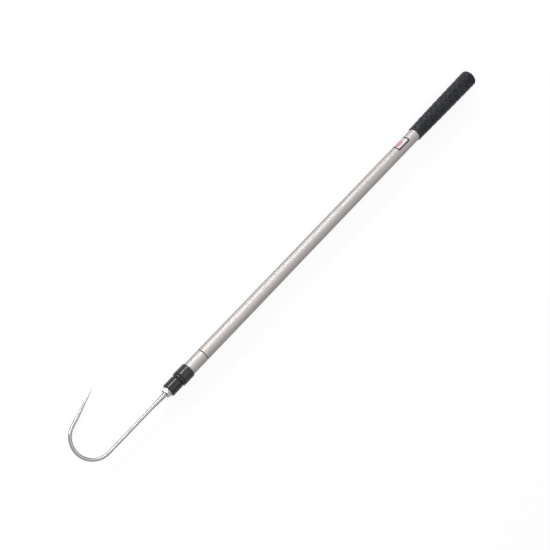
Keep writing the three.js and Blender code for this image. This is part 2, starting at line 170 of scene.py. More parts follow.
class LabelSettings(bpy.types.PropertyGroup):
    """Sizes and colours of the plain sticker."""

    turn: angle("Turn", "Where round the tube the sticker's middle is", 67.5)
    wrap: angle("Wrap", "How far round the tube the sticker reaches", 112.5)
    radius: length("Radius", "Radius of the sticker's underside", 12.53)
    thickness: length("Thickness", "Thickness of the sticker", 0.17)
    corner: length("Corner radius", "Radius of the sticker's corners", 2.2)
    border: length("Border", "Width of the dark border", 3.1)
    paper: colour("Ground", "Colour of the sticker's ground", 0.52, 0.485, 0.495)
    edge: colour("Border colour", "Colour of the border", 0.012, 0.012, 0.014)
    block: colour("Block colour", "Colour of the plain block", 0.30, 0.06, 0.09)


class CollarSettings(bpy.types.PropertyGroup):
    """Sizes and colours of the nylon collar and the fluted head."""

    bore_radius: length("Collar bore", "Radius of the collar's bore", 12.6)
    mouth_radius: length("Mouth radius", "Radius of the hole that the inner tube runs in", 10.2)
    lip: length("Lip", "Length of the collar in front of the tube's end", 3.5)
    rear_reach: length("Rear reach", "Length of the collar's rear round edge", 3.5)
    rear_drop: length("Rear drop", "Depth of the collar's rear round edge", 1.2)
    front_round: length("Front round", "Radius of the collar's front edge", 1)
    band_width: length("Band width", "Width of the matt band near the front edge", 3.8)
    band_depth: length("Band depth", "Depth of the matt band near the front edge", 0.2)
    band_inset: length("Band inset", "Distance of the matt band from the front edge", 4.6)
    head_gap: length("Head gap", "Gap between the collar and the head", 0.3)
    head_radius: length("Head radius", "Radius of the head over its flutes", 12.7)
    neck_radius: length("Neck radius", "Radius of the head's neck", 11.3)
    neck_length: length("Neck length", "Length of the head's neck", 2)
    spigot_radius: length("Spigot radius", "Radius of the head's spigot in the tube", 8.9)
    pocket_radius: length("Pocket radius", "Radius of the pocket for the insert", 7.1)
    chamfer: length("Chamfer", "Chamfer at both ends of the flutes", 1.4)
    flutes: count("Flutes", "Flutes round the head", 9, 3, 24)
    flute_radius: length("Flute radius", "Radius of a flute's hollow", 2.5)
    flute_depth: length("Flute depth", "Depth of a flute", 1.2)
    flute_turn: angle("Flute turn", "Where round the head its first flute is", 22)
    nylon: colour("Nylon", "Colour of the moulded nylon", 0.0035, 0.0037, 0.0042)
    roughness: share("Roughness", "How satin the moulded nylon is", 0.25)


class FasteningSettings(bpy.types.PropertyGroup):
    """Sizes of the washer, nut and ferrule that hold the hook."""

    stem_radius: length("Stem radius", "Radius of the ferrule's stem", 5)
    hole_radius: length("Hole radius", "Radius of the holes for the stem", 5.1)
    washer_radius: length("Washer radius", "Radius of the washer", 10)
    across_flats: length("Across flats", "Size of the nut", 17)
    nut_turn: angle("Nut turn", "Where round the pole a corner of the nut is", 16.7)
    nose_root: length("Nose root", "Radius of the ferrule's nose at the nut", 4.7)
    nose_tip: length("Nose tip", "Radius of the ferrule's nose at the wire", 3.65)
    nose_length: length("Nose length", "Length of the ferrule's nose", 28)
    socket_depth: length("Socket depth", "How deep the wire sits in the ferrule", 22)
    plating: colour("Plating", "Colour of the plated washer and nut", 0.56, 0.56, 0.55)
    plating_roughness: share("Plating roughness", "How satin the plating is", 0.30)


class HookSettings(bpy.types.PropertyGroup):
    """Sizes and colours of the hook."""

    wire_radius: length("Wire radius", "Radius of the hook's wire", 3.175)
    bend_start: length("Bend start", "Where the bend begins, from the butt", 1047.6)
    bend_radius: length("Bend radius", "Radius of the bend, at the wire's middle", 39)
    flare: angle("Flare", "How far the point opens away from the shank", 17.5)
    leg_length: length("Leg length", "Length from the bend's end to the tip", 71)
    point_length: length("Point length", "Length of the ground point", 56)
    tip_radius: length("Tip radius", "Radius of the tip", 0.3)
    fullness: share("Fullness", "How late the point narrows", 0.85)
    turn: angle("Turn", "How far the hook is turned down to the ground", 9.877)
    steel: colour("Steel", "Colour of the polished steel", 0.40, 0.40, 0.395)
    roughness: share("Roughness", "How dull the polished steel is", 0.11)


class StudioSettings(bpy.types.PropertyGroup):
    """The light, the ground and the camera."""

    camera_place: FloatVectorProperty(
        name="Camera place", description="Where the camera stands", size=3,
        default=(1.40729, -0.63532, 1.95164), subtype="TRANSLATION", unit="LENGTH",
    )
    camera_turn: FloatVectorProperty(
        name="Camera turn", description="Which way the camera looks", size=3,
        default=(0.042515, -0.480122, 2.385712), subtype="EULER", unit="ROTATION",
    )
    lens: FloatProperty(
        name="Lens", description="Focal length for a sensor 36 mm wide", default=78.545,
        min=1, unit="CAMERA",
    )
    side_distance: length("Side distance", "Distance of the side lamps from the pole", 1500)
    side_width: length("Side width", "Width of the side lamps", 300)
    key_turn: angle("Key turn", "Where round the pole the side lamps hang", 66)
    key_power: power("Key power", "Power of the long side lamp", 23.5)
    end_power: power("End power", "Power of the side lamp at the grip's end", 4)
    top_power: power("Top power", "Power of the lamp overhead", 9)
    sky: colour("Sky", "Soft light from above", 0.81, 0.81, 0.82)
    horizon: colour("Horizon", "Dark of the room round the light", 0.38, 0.38, 0.385)
    horizon_top: share("Horizon height", "How high the dark of the room reaches", 0.52)
    ground: colour("Ground", "Colour of the floor", 0.96, 0.96, 0.96)
    ground_lift: share("Ground lift", "How much of the floor shows as plain white", 0.86)


# Modelling


def only(piece):
    """Selects one piece alone and makes it active."""
    bpy.ops.object.select_all(action="DESELECT")
    piece.select_set(True)
    bpy.context.view_layer.objects.active = piece


@contextlib.contextmanager
def editing(piece):
    """Edit mode on one piece, with all of it selected."""
    only(piece)
    bpy.ops.object.mode_set(mode="EDIT")
    bpy.ops.mesh.select_mode(type="VERT")
    bpy.ops.mesh.select_all(action="SELECT")
    yield
    bpy.ops.object.mode_set(mode="OBJECT")


def pick_edges(piece, test):
    """In edit mode, selects only the edges that pass the test."""
    bpy.ops.mesh.select_mode(type="EDGE")
    bpy.ops.mesh.select_all(action="DESELECT")
    mesh = bmesh.from_edit_mesh(piece.data)
    for edge in mesh.edges:
        if test(edge):
            edge.select_set(True)
    mesh.select_flush_mode()
    bmesh.update_edit_mesh(piece.data)


def on_rim(edge):
    """Whether an edge is on an open rim."""
    return edge.is_boundary


def extrude(step):
    """Extrudes what is selected by a step."""
    bpy.ops.mesh.extrude_region_move(TRANSFORM_OT_translate={"value": step})


def settle(name):
    """Names the new piece, gives it its own place in its mesh and returns it."""
    piece = bpy.context.object
    piece.name = name
    piece.data.name = name
    bpy.ops.object.transform_apply()
    return piece


def new_ring(name, place, radius, sides):
    """A bare ring round X."""
    bpy.ops.mesh.primitive_circle_add(
        vertices=sides, radius=radius, location=(place, 0, 0), rotation=TURN_TO_X
    )
    return settle(name)


def new_bar(name, rear, front, radius, sides):
    """A bar along X."""
    bpy.ops.mesh.primitive_cylinder_add(
        vertices=sides, radius=radius, depth=front - rear, end_fill_type="NGON",
        location=((rear + front) / 2, 0, 0), rotation=TURN_TO_X,
    )
    return settle(name)


def run_ring(stations, radius, place):
    """Extrudes the selected ring along X from station to station, and resizes it at each."""
    for next_place, next_radius in stations:
        extrude((next_place - place, 0, 0))
        if next_radius == 0:
            bpy.ops.mesh.merge(type="CENTER")
            return
        grow = next_radius / radius
        bpy.ops.transform.resize(value=(1, grow, grow), center_override=(next_place, 0, 0))
        place, radius = next_place, next_radius


def face_out(piece):
    """Turns every face outwards."""
    with editing(piece):
        bpy.ops.mesh.normals_make_consistent(inside=False)


def tidy(piece):
    """Merges doubles and turns every face outwards."""
    with editing(piece):
        bpy.ops.mesh.remove_doubles(threshold=MERGE_REACH)
        bpy.ops.mesh.normals_make_consistent(inside=False)


def turned(name, stations, sides=POLE_SIDES):
    """A closed turned piece. Its stations of (place, radius) run along its outside.

    It is solid if they start and end at radius 0. Otherwise they run on down its bore."""
    solid = stations[0][1] == 0
    (place, radius), *rest = stations[1:] if solid else [*stations, stations[0]]
    piece = new_ring(name, place, radius, sides)
    with editing(piece):
        run_ring(rest, radius, place)
        if solid:
            pick_edges(piece, on_rim)
            run_ring(stations[:1], radius, place)
    tidy(piece)
    return piece


def pointed_bar(name, rear, front, end_radius, reach, radius, sides=POLE_SIDES):
    """A turned bar that narrows to its ends' radius over a reach."""
    stations = [(rear, 0), (rear, end_radius), (rear + reach, radius)]
    stations += [(front - reach, radius), (front, end_radius), (front, 0)]
    return turned(name, stations, sides)


def arc(place, radius, reach, drop, start, end, steps):
    """Stations along a round edge, between two angles in degrees."""
    turns = [math.radians(start + (end - start) * i / steps) for i in range(steps + 1)]
    return [(place + reach * math.cos(a), radius + drop * math.sin(a)) for a in turns]


def add_modifier(piece, kind, **settings):
    """Adds a modifier, sets it and applies it."""
    only(piece)
    bpy.ops.object.modifier_add(type=kind)
    modifier = piece.modifiers[-1]
    for name, value in settings.items():
        setattr(modifier, name, value)
    bpy.ops.object.modifier_apply(modifier=modifier.name)


def carve(piece, tool, operation="DIFFERENCE"):
    """Cuts, joins or trims a piece with a tool, and throws the tool away."""
    add_modifier(piece, "BOOLEAN", operation=operation, object=tool, solver="EXACT")
    bpy.data.objects.remove(tool)


def soften(piece, width, segments=2):
    """Rounds the sharp edges."""
    add_modifier(
        piece, "BEVEL", width=width, segments=segments, limit_method="ANGLE",
        angle_limit=FINE_ANGLE, harden_normals=False,
    )


def lay(piece, move=(0, 0, 0), turn=(0, 0, 0)):
    """Turns a piece about the origin and then moves it, and keeps its place in its mesh.

    A positive turn about X takes the top of the pole towards -Y."""
    only(piece)
    piece.rotation_euler = turn
    piece.location = move
    bpy.ops.object.transform_apply()


def turn_about_pole(piece, turn):
    """Turns a piece about the pole's axis."""
    lay(piece, turn=(turn, 0, 0))


def lay_across(piece, low, high, turn):
    """Lays a bar across the pole in the middle of a box, and turns it with the hook."""
    lay(piece, ((low.x + high.x) / 2, 0, 0), (0, 0, math.pi / 2))
    turn_about_pole(piece, turn)


def drill_along(piece, rear, front, radius, sides=96):
    """Drills a hole along the pole."""
    carve(piece, new_bar("drill", rear, front, radius, sides))


def drill_across(piece, pin, turn):
    """Drills the hole for a cross pin."""
    low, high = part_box(pin)
    radius = (high.x - low.x) / 2 + CLEARANCE
    drill = new_bar("drill", -DRILL_REACH, DRILL_REACH, radius, PIN_SIDES)
    lay_across(drill, low, high, turn)
    carve(piece, drill)


def dress(piece, finish, body, node, smooth=FINE_ANGLE):
    """Gives a piece its finish and its body, and hides the CAD node that it stands for."""
    only(piece)
    bpy.ops.object.shade_smooth_by_angle(angle=smooth)
    piece.data.materials.clear()
    piece.data.materials.append(finish)
    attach(piece, body)
    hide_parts(node)


def repaint(node, finish):
    """Gives a CAD node a finish."""
    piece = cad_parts[node]
    if not piece.material_slots:
        piece.data.materials.append(finish)
    for holder in piece.material_slots:
        holder.material = finish


# Finishes


class Signal:
    """A node's output. Arithmetic on it adds Math nodes."""

    def __init__(self, nodes, socket):
        self.nodes = nodes
        self.socket = socket

    def math(self, operation, *others):
        """This value and any others through one Math node."""
        return self.nodes.add("ShaderNodeMath", {"operation": operation}, (self, *others))

    def after(self, operation, other):
        """The same with the other value first."""
        return self.nodes.add("ShaderNodeMath", {"operation": operation}, (other, self))

    __add__ = partialmethod(math, "ADD")
    __radd__ = partialmethod(after, "ADD")
    __sub__ = partialmethod(math, "SUBTRACT")
    __rsub__ = partialmethod(after, "SUBTRACT")
    __mul__ = partialmethod(math, "MULTIPLY")
    __rmul__ = partialmethod(after, "MULTIPLY")
    __truediv__ = partialmethod(math, "DIVIDE")
    __pow__ = partialmethod(math, "POWER")
    __abs__ = partialmethod(math, "ABSOLUTE")
    at_least = partialmethod(math, "MAXIMUM")
    at_most = partialmethod(math, "MINIMUM")

    def rise(self, low, high):
        """0 below low, 1 above high, and smooth between them."""
        values = {"Value": self, "From Min": low, "From Max": high}
        settings = {"interpolation_type": "SMOOTHSTEP"}
        return self.nodes.add("ShaderNodeMapRange", settings, values)


def rgba(tone):
    """A plain colour with its alpha. A signal stays as it is."""
    return tone if isinstance(tone, Signal) else (*tone, 1)


def shade(tone, amount):
    """A colour made lighter or darker."""
    return tuple(min(1.0, channel * amount) for channel in tone)


class Nodes:
    """A node tree, and the one way in which nodes are added to it."""

    def __init__(self, tree):
        self.tree = tree

    def feed(self, socket, value):
        """Links a signal to a socket, or sets a plain value on it."""
        if isinstance(value, Signal):
            self.tree.links.new(value.socket, socket)
        else:
            socket.default_value = value

    def add(self, kind, settings=(), values=(), output=0):
        """Adds a node, sets it, feeds its sockets and returns one output, or several."""
        node = self.tree.nodes.new(kind)
        for name, value in dict(settings).items():
            setattr(node, name, value)
        pairs = values.items() if isinstance(values, dict) else enumerate(values)
        for key, value in pairs:
            self.feed(node.inputs[key], value)
        if isinstance(output, tuple):
            return [Signal(self, node.outputs[name]) for name in output]
        return Signal(self, node.outputs[output])

    def mix(self, factor, first, second):
        """A colour between two colours."""
        values = {0: factor, 6: rgba(first), 7: rgba(second)}
        return self.add("ShaderNodeMix", {"data_type": "RGBA"}, values, 2)


class Finish(Nodes):
    """A material with a Principled shader, worked out in millimetres on Object coordinates."""

    def __init__(self, name, **constants):
        self.material = bpy.data.materials.new(name)
        self.material.use_nodes = True
        super().__init__(self.material.node_tree)
        self.shader = self.tree.nodes["Principled BSDF"]
        self.set(**constants)
        metres = self.add("ShaderNodeTexCoord", output="Object")
        self.place = self.scaled(metres, 1 / MM, 1 / MM, 1 / MM)
        self.x, self.y, self.z = self.add(
            "ShaderNodeSeparateXYZ", values=[self.place], output=("X", "Y", "Z")
        )

    def set(self, **values):
        """Feeds the shader; a name's _ stands for a space."""
        for name, value in values.items():
            self.feed(self.shader.inputs[name.replace("_", " ")], value)

    def scaled(self, vector, x, y, z):
        """A place with each of its directions stretched by its own amount."""
        settings = {"operation": "MULTIPLY"}
        return self.add("ShaderNodeVectorMath", settings, [vector, (x, y, z)])

    def noise(self, scale, detail=2, roughness=0.5, place=None):
        """Soft noise from about 0 to 1; scale is in features to a millimetre."""
        place = place or self.place
        values = {"Vector": place, "Scale": scale, "Detail": detail, "Roughness": roughness}
        return self.add("ShaderNodeTexNoise", values=values)

    def grain(self, x, y, z, detail=2):
        """Noise with its own number of features to a millimetre in each direction."""
        return self.noise(1, detail, place=self.scaled(self.place, x, y, z))

    def from_axis(self):
        """Distance from the pole's axis."""
        return (self.y * self.y + self.z * self.z) ** 0.5

    def coat(self, tone, roughness, height):
        """Feeds the shader its colour, roughness and relief, and returns the material.

        The relief's height is in millimetres."""
        values = {"Strength": 1.0, "Distance": MM, "Height": height}
        bump = self.add("ShaderNodeBump", values=values)
        self.set(Base_Color=rgba(tone), Roughness=roughness, Normal=bump)
        return self.material


def moulded_rubber(settings):
    """Matt rubber: dusty in the grooves, rubbed smoother and paler on the crowns."""
    finish = Finish("moulded_rubber", Metallic=0.0, Specular_IOR_Level=0.28)
    butt = GRIP_HIGH.z / MM
    narrowing = butt - settings.lip_radius / MM
    along = (finish.x / (GRIP_HIGH.x / MM)).at_least(0.0)
    crest = butt - narrowing * along ** settings.taper_share
    depth = settings.groove_depth / MM
    height = ((finish.from_axis() - crest) / depth + 1).rise(0.1, 0.8)
    cloud = finish.noise(0.09, 3)
    grit = finish.noise(3.5, 3, 0.6)
    worn = height * cloud.rise(0.35, 0.65)
    base = finish.mix(worn, settings.rubber, settings.crown)
    dusty = finish.mix((1 - height) * grit * 0.35, base, shade(settings.crown, 1.6))
    roughness = 0.80 - 0.42 * height * cloud.rise(0.0, 0.4) + 0.10 * (grit - 0.5)
    return finish.coat(dusty, roughness, grit * 0.002 + finish.noise(0.8) * 0.008)


def moulded_nylon(settings, name="moulded_nylon", tone=None, band=None, crest=None):
    """Satin nylon with a few scuffs, and perhaps a matt band, or matt hollows below a crest with
    dust and painted shade.
    """
    tone = tone or settings.nylon
    finish = Finish(name, Metallic=0.0, Specular_IOR_Level=0.58)
    sparks = finish.noise(5.0, 3, 0.6)
    cloud = finish.noise(0.12, 3)
    scuffs = finish.grain(0.08, 0.9, 0.9, 4).rise(0.62, 0.74)
    base = finish.mix(cloud * 0.6, tone, shade(tone, 1.5))
    base = finish.mix(scuffs * 0.25, base, shade(tone, 3.0))
    roughness = settings.roughness + 0.10 * (cloud - 0.5) + 0.16 * scuffs
    if band is not None:
        half = settings.band_width / MM / 2
        matt = 1 - abs(finish.x - band / MM).rise(half - 0.2, half + 0.1)
        base = finish.mix(matt, base, shade(tone, 0.3))
        roughness = roughness + 0.6 * matt
    # Dust and painted shade: the hollows below the crest are darkened where shade falls in them,
    # and made rougher.
    if crest is not None:
        hollow = (crest / MM - finish.from_axis()).rise(0.15, 0.7)
        base = finish.mix(hollow, base, shade(tone, 0.3))
        roughness = roughness + 0.45 * hollow
    return finish.coat(base, roughness, sparks * 0.001 + cloud * 0.008)


def drawn_aluminium(settings, name="drawn_aluminium", groove=None):
    """Satin aluminium, drawn along its length, with faint scratches and painted shade in the
    groove.
    """
    finish = Finish(name, Metallic=1.0, Specular_Tint=METAL_EDGE)
    lines = finish.grain(0.01, 5.0, 5.0)
    bands = finish.grain(0.004, 0.6, 0.6, 3)
    smudges = finish.noise(0.035, 3)
    etched = finish.noise(0.35, 3, 0.6)
    scratches = finish.grain(0.05, 2.6, 2.6, 3).rise(0.66, 0.72)
    tone = settings.aluminium
    base = finish.mix(bands.rise(0.35, 0.65), shade(tone, 0.91), shade(tone, 1.08))
    base = finish.mix(lines.rise(0.35, 0.65) * 0.45, base, shade(tone, 0.82))
    base = finish.mix(etched.rise(0.3, 0.7) * 0.3, base, shade(tone, 0.86))
    base = finish.mix(scratches * 0.3, base, shade(tone, 1.3))
    roughness = settings.roughness + 0.06 * (lines - 0.5) + 0.08 * (smudges - 0.5)
    if groove is not None:
        # Painted shade: the rolled groove is darkened towards a dark colour where shade falls,
        # and made rougher.
        painted_shade = 1 - abs(finish.x - groove / MM).rise(0.2, settings.groove_width / MM * 0.5)
        base = finish.mix(painted_shade * 0.75, base, settings.groove_shade)
        roughness = roughness + 0.25 * painted_shade
    return finish.coat(base, roughness, lines * 0.0012 + bands * 0.003)


def polished_steel(name, tone, dullness, ground_point=False):
    """Bright steel with hair scratches; a ground point is duller, with grinding lines."""
    finish = Finish(name, Metallic=1.0, Specular_Tint=METAL_EDGE)
    hairs = finish.grain(6.0, 1.2, 1.2, 3)
    cloud = finish.noise(0.10, 3)
    base = finish.mix(cloud.rise(0.3, 0.7), shade(tone, 0.94), shade(tone, 1.04))
    roughness = dullness + 0.06 * hairs + 0.05 * (cloud - 0.5)
    height = hairs * 0.0005
    if ground_point:
        along = finish.add("ShaderNodeAttribute", {"attribute_name": "ground"}, output="Fac")
        roughness = roughness + along * 0.12
        height = height + along * finish.noise(2.5) * 0.002
    return finish.coat(base, roughness, height)


def turned_metal(name, tone, roughness):
    """Plain turned metal, with the lathe's fine rings."""
    finish = Finish(name, Metallic=1.0)
    rings = finish.grain(5.0, 0.15, 0.15)
    cloud = finish.noise(0.25, 3)
    base = finish.mix(cloud, shade(tone, 0.88), shade(tone, 1.08))
    return finish.coat(base, roughness + 0.10 * (rings - 0.5), rings * 0.002)


def printed_vinyl(settings):
    """A glossy sticker: silvery ground, dark border and one plain block of colour."""
    finish = Finish("printed_vinyl", Metallic=0.0, Coat_Weight=0.35, Coat_Roughness=0.2)
    radius = (settings.radius + settings.thickness) / MM
    middle = (LABEL_LOW.x + LABEL_HIGH.x) / 2 / MM
    half_length = (LABEL_HIGH.x - LABEL_LOW.x) / 2 / MM
    half_width = settings.wrap * radius / 2
    corner = settings.corner / MM
    turn = (0.0 - finish.y).math("ARCTAN2", finish.z)
    along = finish.x - middle
    across = (turn - settings.turn) * radius
    over_x = abs(along) - (half_length - corner)
    over_y = abs(across) - (half_width - corner)
    round_x, round_y = over_x.at_least(0.0), over_y.at_least(0.0)
    inside = corner - (round_x * round_x + round_y * round_y) ** 0.5
    inside = inside - over_x.at_least(over_y).at_most(0.0)
    border = 1 - inside.rise(settings.border / MM - 0.12, settings.border / MM + 0.12)
    block = along.rise(-4.4, -3.6) * (1 - along.rise(12.9, 13.2)) * across.rise(-5.4, -5.0)
    ink = finish.noise(1.2, 3)
    scuffs = finish.grain(0.5, 1.6, 1.6, 4).rise(0.60, 0.72)
    faded = ink.rise(0.45, 0.65) * 0.5
    base = finish.mix(faded, settings.paper, shade(settings.paper, 0.62))
    base = finish.mix(block * (0.5 + 0.4 * ink), base, settings.block)
    base = finish.mix(border, base, settings.edge)
    base = finish.mix(scuffs * 0.25, base, (0.55, 0.53, 0.53))
    finish.set(Metallic=(1 - border) * (1 - block) * 0.7)
    return finish.coat(base, 0.36 + 0.2 * scuffs, finish.noise(0.25) * 0.03 + ink * 0.004)


# Pieces


def grip_radius(settings, place):
    """The grip's radius over its pads' crowns."""
    narrowing = GRIP_HIGH.z - settings.lip_radius
    return GRIP_HIGH.z - narrowing * (place / GRIP_HIGH.x) ** settings.taper_share


class GAFF_OT_grip(bpy.types.Operator):
    """Models the rubber grip, with lozenge pads between crossed grooves"""

    bl_idname = "gaff.grip"
    bl_label = "Rubber Grip"

    def execute(self, context):
        settings = context.scene.gaff_grip
        start = settings.pattern_start
        end = start + settings.pad_pitch * settings.pad_rows

        grip = new_ring("rubber_grip", start, GRIP_HIGH.z, settings.pads_round)
        turn_about_pole(grip, settings.pad_turn + CORNER_TO_TOP)
        grip.vertex_groups.new(name="pads")
        self.lay_pads(grip, settings)
        with editing(grip):
            bpy.ops.mesh.subdivide(number_cuts=3)

        core = self.core(settings)
        add_modifier(grip, "SHRINKWRAP", target=core, wrap_method="NEAREST_SURFACEPOINT")
        bpy.data.objects.remove(core)
        face_out(grip)
        add_modifier(
            grip, "DISPLACE", strength=settings.groove_depth, mid_level=0,
            direction="NORMAL", vertex_group="pads",
        )
        self.close_ends(grip, settings, start, end)
        add_modifier(grip, "SUBSURF", levels=1, render_levels=1)
        tidy(grip)
        finish = moulded_rubber(settings)
        dress(grip, finish, "outer_section", "grip", smooth=SOFT_ANGLE)
        return {"FINISHED"}

    def core(self, settings):
        """The grip's tapered outside, sunk by the grooves' depth."""
        steps = 30
        places = [GRIP_HIGH.x * i / steps for i in range(steps + 1)]
        sunk = [(place, grip_radius(settings, place) - settings.groove_depth) for place in places]
        return turned("grip_core", [(0, 0), *sunk, (GRIP_HIGH.x, 0)], 256)

    def lay_pads(self, grip, settings):
        """Runs the ring into rows, turns the quads into lozenges, and insets and weighs each."""
        with editing(grip):
            for _ in range(settings.pad_rows):
                extrude((settings.pad_pitch, 0, 0))
            bpy.ops.mesh.select_all(action="SELECT")
            bpy.ops.mesh.mark_seam(clear=False)
            bpy.ops.mesh.poke()
            pick_edges(grip, lambda edge: edge.seam and not edge.is_boundary)
            bpy.ops.mesh.dissolve_edges(use_verts=False)
            bpy.ops.mesh.select_mode(type="FACE")
            bpy.ops.mesh.select_all(action="SELECT")
            bpy.ops.mesh.mark_seam(clear=True)
            bpy.ops.mesh.inset(thickness=settings.groove_width / 2, use_individual=True)
            self.weigh(settings.shoulder_share)
            bpy.ops.mesh.inset(thickness=settings.shoulder_width, use_individual=True)
            self.weigh(1)

    def weigh(self, weight):
        """Gives the selected corners their share of the pads' height."""
        bpy.context.scene.tool_settings.vertex_group_weight = weight
        bpy.ops.object.vertex_group_assign()

    def close_ends(self, grip, settings, start, end):
        """Runs both open ends on: round the butt, and over the lip and down the bore."""
        floor = [grip_radius(settings, place) - settings.groove_depth for place in (start, end)]
        rise = settings.groove_width * 0.6
        flat = GRIP_HIGH.z - settings.butt_drop
        butt = arc(settings.butt_reach, flat, settings.butt_reach, settings.butt_drop, 84, 180, 8)
        rear_band = start - rise
        rear = [(rear_band, grip_radius(settings, rear_band)), *butt]
        rear += [(0, flat * 0.5), (0, 0)]
        lip_round = 0.8 * MM
        lip = GRIP_HIGH.x - lip_round
        front_band = end + rise
        band_shares = (0, 0.03, 0.25, 0.5, 0.75, 0.97)
        places = [front_band + (lip - front_band) * share for share in band_shares]
        front = [(place, grip_radius(settings, place)) for place in places]
        front += arc(lip, settings.lip_radius - lip_round, lip_round, lip_round, 90, 0, 4)
        bore = settings.bore_radius
        front += [
            (GRIP_HIGH.x, bore + 0.5 * MM), (GRIP_HIGH.x, bore + 0.1 * MM),
            (GRIP_HIGH.x - 0.1 * MM, bore), (GRIP_HIGH.x - 1.5 * MM, bore),
            (settings.end_wall + 1 * MM, bore), (settings.end_wall, bore),
            (settings.end_wall, bore - 1 * MM), (settings.end_wall, 0),
        ]
        middle = (start + end) / 2
        with editing(grip):
            pick_edges(grip, lambda edge: on_rim(edge) and edge.verts[0].co.x < middle)
            run_ring(rear, floor[0], start)
            pick_edges(grip, lambda edge: on_rim(edge) and edge.verts[0].co.x > middle)
            run_ring(front, floor[1], end)


class GAFF_OT_tubes(bpy.types.Operator):
    """Models the outer tube with its rolled groove, the inner tube and its cross pin"""

    bl_idname = "gaff.tubes"
    bl_label = "Aluminium Tubes"

    def execute(self, context):
        settings = context.scene.gaff_tube
        turn = context.scene.gaff_hook.turn
        self.outer(settings)
        self.inner(settings, turn)
        self.pin(settings, turn)
        return {"FINISHED"}

    def stations(self, rear, front, radius, wall, edge, groove=()):
        """A tube's wall, with broken edges and perhaps a groove of (place, depth)."""
        bore = radius - wall
        return [
            (rear, bore), (rear, radius - edge), (rear + edge, radius),
            *[(place, radius - sink) for place, sink in groove],
            (front - edge, radius), (front, radius - edge), (front, bore),
            *[(place, bore - sink) for place, sink in reversed(groove)],
        ]

    def outer(self, settings):
        """The outer tube, whose rolled groove shows in its bore too."""
        steps = 12
        half = settings.groove_width / 2
        groove = []
        for i in range(steps + 1):
            along = -1 + 2 * i / steps
            sink = settings.groove_depth * (0.5 + 0.5 * math.cos(math.pi * along)) ** 1.5
            groove.append((settings.groove_place + half * along, sink))
        stations = self.stations(
            TUBE_LOW.x, TUBE_HIGH.x, TUBE_HIGH.z, settings.wall, 0.25 * MM, groove
        )
        tube = turned("aluminium_tube", stations)
        finish = drawn_aluminium(settings, groove=settings.groove_place)
        dress(tube, finish, "outer_section", "outer_tube")

    def inner(self, settings, turn):
        """The inner tube, drilled for its two cross pins."""
        stations = self.stations(
            SLIDER_LOW.x, SLIDER_HIGH.x, settings.slider_radius, settings.wall, 0.2 * MM
        )
        tube = turned("sliding_tube", stations)
        for pin in ("head_pin", "rear_plug_pin"):
            drill_across(tube, pin, turn)
        tidy(tube)
        finish = drawn_aluminium(settings, "drawn_aluminium_inner")
        dress(tube, finish, "inner_section", "inner_tube")

    def pin(self, settings, turn):
        """The cross pin behind the head, with chamfered ends."""
        radius = (PIN_HIGH.x - PIN_LOW.x) / 2
        half = settings.pin_length / 2
        chamfer = 0.4 * MM
        pin = pointed_bar("cross_pin", -half, half, radius - chamfer, chamfer, radius, PIN_SIDES)
        lay_across(pin, PIN_LOW, PIN_HIGH, turn)
        finish = turned_metal("turned_steel_pin", TURNED_STEEL, 0.32)
        dress(pin, finish, "inner_section", "head_pin")


class GAFF_OT_label(bpy.types.Operator):
    """Models the plain sticker, bent round the tube"""

    bl_idname = "gaff.label"
    bl_label = "Label"

    def execute(self, context):
        settings = context.scene.gaff_label
        half_length = (LABEL_HIGH.x - LABEL_LOW.x) / 2
        half_width = settings.wrap * settings.radius / 2
        middle = (LABEL_LOW.x + LABEL_HIGH.x) / 2
        bpy.ops.mesh.primitive_plane_add(size=2, rotation=(math.pi / 2, 0, 0))
        bpy.context.object.scale = (half_length, half_width, 1)
        label = settle("plain_label")
        with editing(label):
            bpy.ops.mesh.bevel(affect="VERTICES", offset=settings.corner, segments=8)
            strips = 48
            for i in range(1, strips):
                level = half_width * (2 * i / strips - 1)
                bpy.ops.mesh.select_all(action="SELECT")
                bpy.ops.mesh.bisect(plane_co=(0, 0, level), plane_no=(0, 0, 1))
        add_modifier(
            label, "SIMPLE_DEFORM", deform_method="BEND", deform_axis="X", angle=settings.wrap
        )
        lay(label, (middle, -settings.radius, 0))
        turn_about_pole(label, settings.turn - math.pi / 2)
        self.face_from_pole(label)
        add_modifier(label, "SOLIDIFY", thickness=settings.thickness, offset=1)
        tidy(label)
        dress(label, printed_vinyl(settings), "outer_section", "label")
        return {"FINISHED"}

    def face_from_pole(self, label):
        """Turns the bent sheet's faces away from the pole."""
        face_out(label)
        face = label.data.polygons[0]
        if face.normal.yz.dot(face.center.yz) < 0:
            with editing(label):
                bpy.ops.mesh.flip_normals()


class GAFF_OT_collar(bpy.types.Operator):
    """Models the nylon collar on the outer tube's mouth"""

    bl_idname = "gaff.collar"
    bl_label = "Mouth Collar"

    def execute(self, context):
        settings = context.scene.gaff_collar
        rear, front, radius = COLLAR_LOW.x, COLLAR_HIGH.x, COLLAR_HIGH.z
        band = front - settings.band_inset
        half, depth = settings.band_width / 2, settings.band_depth
        reach, drop = settings.rear_reach, settings.rear_drop
        bore, mouth = settings.bore_radius, settings.mouth_radius
        rim, lip = settings.front_round, front - settings.lip
        bevel = 0.3 * MM
        collar = turned("mouth_collar", [
            (rear, bore), *arc(rear + reach, radius - drop, reach, drop, 180, 90, 10),
            (band - half, radius), (band - half + depth, radius - depth),
            (band + half - depth, radius - depth), (band + half, radius),
            *arc(front - rim, radius - rim, rim, rim, 90, 0, 8),
            (front, mouth + bevel), (front - bevel, mouth), (lip, mouth), (lip, bore),
        ])
        finish = moulded_nylon(settings, band=band)
        dress(collar, finish, "outer_section", "outer_collar")
        return {"FINISHED"}


